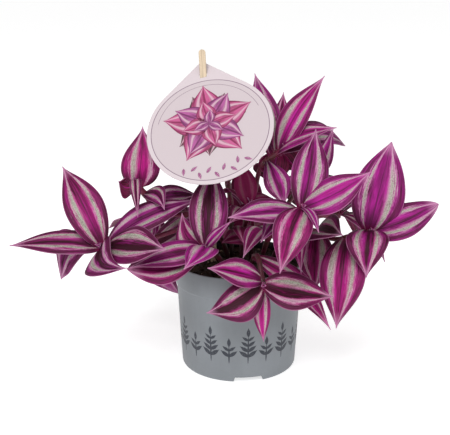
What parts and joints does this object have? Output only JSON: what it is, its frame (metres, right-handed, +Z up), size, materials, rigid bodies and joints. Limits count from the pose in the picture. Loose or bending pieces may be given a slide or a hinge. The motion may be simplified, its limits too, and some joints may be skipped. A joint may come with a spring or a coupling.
{
  "type": "potted tradescantia",
  "caption": "Bushy trailing house plant with striped pink and silver leaves in a round plastic nursery pot, with a plain plant card on a wooden stick.",
  "frame": {"origin": "centre of the pot's underside, on the surface that the pot stands on", "axes": "+Z up, -Y to the front that faces the viewer, +X to the viewer's right, along the widest spread of the leaves"},
  "size_m": [0.3314, 0.217, 0.255],
  "materials": {
    "pot": "satin",
    "soil": "matt",
    "leaves": "satin",
    "card": "satin",
    "stick": "matt"
  },
  "bodies": {
    "root": {"pot": "pot", "soil": "soil", "stem_far_left": "leaves", "stem_upper_left": "leaves", "stem_front_left": "leaves", "stem_upper_right": "leaves", "stem_front_right": "leaves", "stem_right": "leaves", "stem_far_right": "leaves", "stem_front": "leaves", "stem_centre": "leaves", "stem_back_centre": "leaves", "stem_back_left": "leaves", "stem_back": "leaves", "stem_back_right": "leaves", "plant_card": "card", "card_stick": "stick"}
  },
  "joints": []
}
